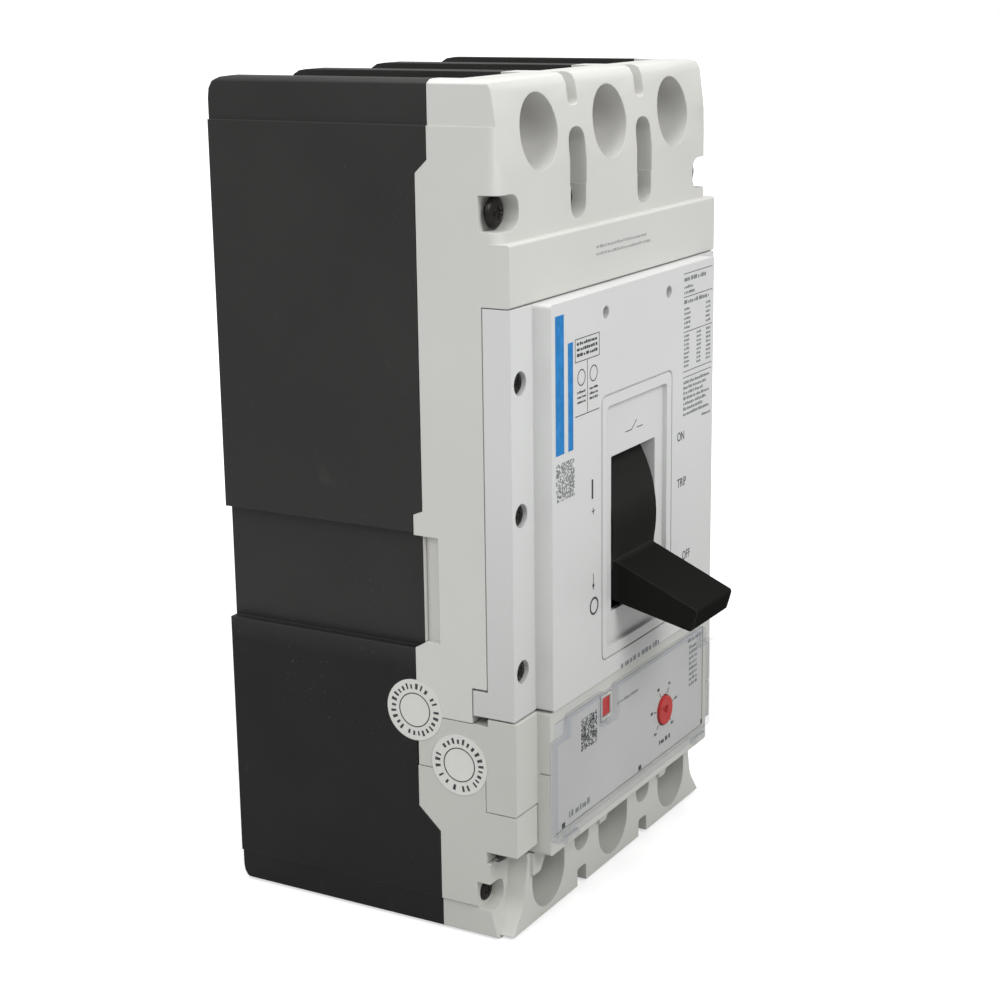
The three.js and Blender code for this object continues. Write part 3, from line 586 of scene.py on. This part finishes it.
def seal(name, depth, z, turn):
    """A round paper seal on the left side, with a printed ring and a ring of dashes.

    turn: where the ring of dashes starts, in degrees.
    """
    origin = (SIDE_X, -depth * MM, z * MM)
    on_side = dict(right=(0, -1, 0), outward=(-1, 0, 0))
    paper = Print(origin, thickness=PAPER, **on_side)
    paper.disc(0, 0, 9.75, 96)
    paper.done(name, "paper")
    mark = Print((SIDE_X - PAPER, origin[1], origin[2]), thickness=0.03 * MM, **on_side)
    mark.ring(0, 0, 5.15, 5.5, steps=64)
    picker = random.Random(name)
    at = 0.0
    while at < 344:
        sweep = picker.choice((7.0, 9.0, 11.0))
        mark.ring(0, 0, 6.7, 6.7 + picker.choice((1.4, 1.8)), turn + at, sweep * 0.62, 4)
        at += sweep + (13 if picker.random() < 0.12 else 4.5)
    mark.done(name + "_print", "dark_ink")


# ------------------------------------------------------------------ screws
HEAD_RINGS = 26
HEAD_STEPS = 72


def limited(value):
    return min(max(value, 0), 1)


def head_height(x, z, radius, rise):
    """Height of a domed pan head with a tapered cross recess, at x, z from its middle."""
    distance = math.hypot(x, z)
    share = distance / radius
    dome = rise * math.sqrt(max(0.0, 1 - 0.92 * share ** 2.6)) if share < 1 else 0.28 * rise
    slot, reach = radius * 0.15, radius * 0.60
    inside = 0.0
    for along, across in ((abs(x), abs(z)), (abs(z), abs(x))):
        wide = limited((slot * (1.35 - 0.5 * along / reach) - across) / (0.28 * slot) + 0.5)
        long = limited((reach - along) / (0.35 * slot) + 0.5)
        inside = max(inside, wide * long)
    return dome - inside * rise * (0.75 - 0.35 * min(1, distance / reach))


def screw_head(name):
    """A turned screw in the place of its plain CAD node: head, recess and shank."""
    low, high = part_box(name)
    centre = (low + high) / 2
    radius = (high.x - low.x) / 2
    rise = radius * 0.42
    seat = low.y + rise
    shank = 0.47 * radius
    turns = [2 * math.pi * k / HEAD_STEPS for k in range(HEAD_STEPS)]
    bm = bmesh.new()

    def domed(r, a):
        x, z = r * math.cos(a), r * math.sin(a)
        return (centre.x + x, seat - head_height(x, z, radius, rise), centre.z + z)

    def turned(r, a, y):
        return (centre.x + r * math.cos(a), y, centre.z + r * math.sin(a))

    hub = bm.verts.new(domed(0, 0))
    loops = []
    for i in range(1, HEAD_RINGS + 1):
        r = min(radius * (i / HEAD_RINGS) ** 0.9, radius * 0.9999)
        loops.append([bm.verts.new(domed(r, a)) for a in turns])
    for r, y in ((radius, seat), (shank, seat), (shank, high.y - 0.6 * MM), (shank * 0.6, high.y)):
        loops.append([bm.verts.new(turned(r, a, y)) for a in turns])
    for first, second in zip(loops[0], loops[0][1:] + loops[0][:1]):
        bm.faces.new([hub, first, second])
    for inner, outer in zip(loops, loops[1:]):
        for k in range(HEAD_STEPS):
            following = (k + 1) % HEAD_STEPS
            bm.faces.new([inner[k], outer[k], outer[following], inner[following]])
    bm.faces.new(loops[-1])
    piece = finish_piece(bm, name + "_turned", "screw", smooth=True)
    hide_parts(name)


# ------------------------------------------------------------------ stage, light and camera
def stage():
    """A plain pale floor, seen as an even near-white by the camera."""
    bm = bmesh.new()
    bmesh.ops.create_grid(bm, x_segments=2, y_segments=2, size=9)
    mesh = bpy.data.meshes.new("floor")
    bm.to_mesh(mesh)
    bm.free()
    floor = bpy.data.objects.new("floor", mesh)
    floor.location.z = FLOOR_Z - 0.2 * MM
    bpy.context.scene.collection.objects.link(floor)
    nodes = Nodes("pale_floor")
    nodes.shader.inputs["Roughness"].default_value = 0.9
    pale = nodes.mix(nodes.noise(3, 2.0), rgba(0.46, 0.46, 0.46), rgba(0.48, 0.48, 0.48))
    nodes.link(pale, nodes.shader.inputs["Base Color"])
    glow = nodes.add("ShaderNodeEmission")
    distance = nodes.add("ShaderNodeVectorMath", operation="LENGTH")
    nodes.link(nodes.place, distance.inputs[0])
    nodes.link(nodes.ramp(distance.outputs["Value"], 0.25, 0.8, 0.62, 1.05), glow.inputs["Strength"])
    both = nodes.add("ShaderNodeAddShader")
    nodes.link(nodes.shader.outputs["BSDF"], both.inputs[0])
    nodes.link(glow.outputs["Emission"], both.inputs[1])
    path = nodes.add("ShaderNodeLightPath")
    choose = nodes.add("ShaderNodeMixShader")
    nodes.link(path.outputs["Is Camera Ray"], choose.inputs[0])
    nodes.link(nodes.shader.outputs["BSDF"], choose.inputs[1])
    nodes.link(both.outputs["Shader"], choose.inputs[2])
    nodes.link(choose.outputs["Shader"], nodes.tree.nodes["Material Output"].inputs["Surface"])
    mesh.materials.append(nodes.material)


def area_light(name, location, target, size, power):
    light = bpy.data.lights.new(name, "AREA")
    light.shape = "DISK"
    light.size = size
    light.energy = power
    lamp = bpy.data.objects.new(name, light)
    lamp.location = location
    lamp.rotation_euler = (Vector(target) - Vector(location)).to_track_quat("-Z", "Y").to_euler()
    bpy.context.scene.collection.objects.link(lamp)


def lights():
    area_light("key", (-0.35, -1.5, 1.2), (0, 0, 0.05), 1.0, 20)
    area_light("left_fill", (-1.1, 0.1, 0.95), (0, 0, 0.08), 0.9, 6.6)
    area_light("top", (0.1, 0.0, 1.7), (0, 0, 0), 1.2, 18)
    world = bpy.data.worlds.new("studio")
    world.use_nodes = True
    background = world.node_tree.nodes["Background"]
    background.inputs["Color"].default_value = rgba(1, 1, 1)
    background.inputs["Strength"].default_value = 0.47
    bright = world.node_tree.nodes.new("ShaderNodeBackground")
    bright.inputs["Color"].default_value = rgba(1, 1, 1)
    path = world.node_tree.nodes.new("ShaderNodeLightPath")
    blend = world.node_tree.nodes.new("ShaderNodeMixShader")
    links = world.node_tree.links
    links.new(path.outputs["Is Camera Ray"], blend.inputs[0])
    links.new(background.outputs[0], blend.inputs[1])
    links.new(bright.outputs[0], blend.inputs[2])
    links.new(blend.outputs[0], world.node_tree.nodes["World Output"].inputs["Surface"])
    bpy.context.scene.world = world


# The photograph's view: seen from the left front and slightly above.
CAMERA_PLACE = (-0.56113, -0.38225, 0.15731)
CAMERA_AZIMUTH = math.radians(-60.02)
CAMERA_FALL = math.radians(14.50)
CAMERA_ROLL = math.radians(0.757)
CAMERA_LENS = 73.588


def camera():
    data = bpy.data.cameras.new("camera")
    data.lens = CAMERA_LENS
    data.clip_start = 0.01
    eye = bpy.data.objects.new("camera", data)
    turn = Matrix.Rotation(CAMERA_AZIMUTH, 4, "Z") @ Matrix.Rotation(math.pi / 2 - CAMERA_FALL, 4, "X")
    eye.matrix_world = Matrix.Translation(CAMERA_PLACE) @ turn @ Matrix.Rotation(-CAMERA_ROLL, 4, "Z")
    bpy.context.scene.collection.objects.link(eye)
    bpy.context.scene.camera = eye


# ------------------------------------------------------------------ build
for node_name, node_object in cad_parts.items():
    if "screw" in node_name:
        screw_head(node_name)
    else:
        dress(node_name, node_object)

stripes()
switch_marks()
rating_table()
bar_lines()
bezel_symbol()
position_marks()
plate_marks()
plate_lines()
seal("side_seal_upper", 68.0, -58.6, 20)
seal("side_seal_lower", 83.4, -73.5, 160)
stage()
lights()
camera()
bpy.context.scene.view_settings.view_transform = "Standard"
